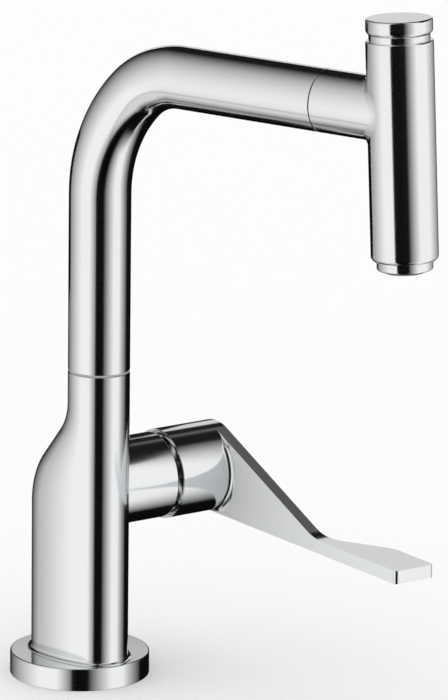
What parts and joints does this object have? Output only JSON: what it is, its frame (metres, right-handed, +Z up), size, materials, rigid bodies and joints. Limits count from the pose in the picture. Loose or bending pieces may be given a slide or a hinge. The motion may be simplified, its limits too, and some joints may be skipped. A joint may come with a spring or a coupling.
{
  "type": "pull-out mixer tap",
  "caption": "Single-lever kitchen mixer tap with a swivelling tubular spout and a pull-out spray head with a push button.",
  "frame": {"origin": "centre of the base flange's underside, on the worktop", "axes": "+Z up, -Y the front that the lever points to at rest, +X the lever's side; the spout rests swivelled 18.8 degrees from -Y towards +X"},
  "size_m": [0.1287, 0.2282, 0.4245],
  "materials": {
    "chrome": "mirror-bright chrome plate",
    "nozzle_grey": "dark grey soft plastic",
    "seam_grey": "mid grey plastic",
    "white_plastic": "white acetal",
    "black_plastic": "black acetal",
    "brass": "turned brass",
    "steel": "plain stainless steel",
    "black_rubber": "black rubber",
    "ceramic": "lapped ceramic",
    "hose_grey": "grey braided nylon"
  },
  "bodies": {
    "tap": {"base_flange": "chrome", "base_seal": "black_rubber", "base_screw_right": "steel", "base_screw_left": "steel", "threaded_shank": "brass", "rubber_washer": "black_rubber", "steel_washer": "steel", "fixing_nut": "brass", "nut_screw_right": "steel", "nut_screw_left": "steel", "mixer_body": "chrome", "waterway_block": "brass", "hose_lower": "hose_grey", "hose_end_fitting": "brass", "cartridge_seals": "black_rubber", "cartridge_base": "black_plastic", "fixed_disc": "ceramic", "cartridge_housing": "black_plastic", "cartridge_nut": "brass", "cartridge_dome": "chrome", "stop_screw": "steel"},
    "spout": {"swivel_seam_ring": "seam_grey", "swivel_sleeve": "brass", "lower_slip_ring": "white_plastic", "upper_slip_ring": "white_plastic", "spout_tube": "chrome", "hose_upper": "hose_grey", "docking_collar": "white_plastic"},
    "spray_head": {"head_shell": "chrome", "hose_in_arm": "hose_grey", "hose_ferrule": "steel", "hose_nut": "brass", "docking_spigot": "brass", "docking_ring": "black_rubber", "spray_check_valve": "white_plastic", "spray_core": "white_plastic", "select_valve": "white_plastic", "valve_nut": "white_plastic", "aerator_seal": "black_rubber", "aerator_housing": "chrome", "aerator_insert": "nozzle_grey", "aerator_screen": "steel", "button_spring": "steel"},
    "push_button": {"button_cap": "chrome", "button_skirt": "chrome", "button_stem": "white_plastic"},
    "lever_carrier": {"stem_carrier": "black_plastic", "tilt_pin": "steel"},
    "slide_disc": {"moving_disc": "ceramic"},
    "lever": {"cartridge_stem": "steel", "lever_handle": "chrome", "handle_screw": "steel", "screw_plug": "chrome"}
  },
  "joints": [
    {"name": "spout_swivel", "type": "hinge", "parent": "tap", "child": "spout", "pos_m": [0, -0.015, 0.15], "axis": [0, 0, 1], "range_deg": [-73.8, 36.2]},
    {"name": "head_pull", "type": "slide", "parent": "spout", "child": "spray_head", "axis": [0.3223, -0.9466, 0], "range_m": [0, 0.5]},
    {"name": "button_press", "type": "slide", "parent": "spray_head", "child": "push_button", "axis": [0.0169, -0.0495, -0.9986], "range_m": [0, 0.0022], "stiffness_N_per_m": 1200, "springref_m": -0.002, "deforming": ["button_spring"]},
    {"name": "lever_turn", "type": "hinge", "parent": "tap", "child": "lever_carrier", "pos_m": [0.0245, 0, 0.09175], "axis": [-1, 0, 0], "range_deg": [0, 90]},
    {"name": "lever_lift", "type": "hinge", "parent": "lever_carrier", "child": "lever", "pos_m": [0.0245, 0, 0.09175], "axis": [0, 0, 1], "range_deg": [0, 20]},
    {"name": "disc_slide", "type": "slide", "parent": "lever_carrier", "child": "slide_disc", "axis": [0, -1, 0], "range_m": [0, 0.0024]}
  ],
  "couplings": [
    {"joint": "disc_slide", "follows": "lever_lift", "m_per_rad": 0.0063}
  ]
}
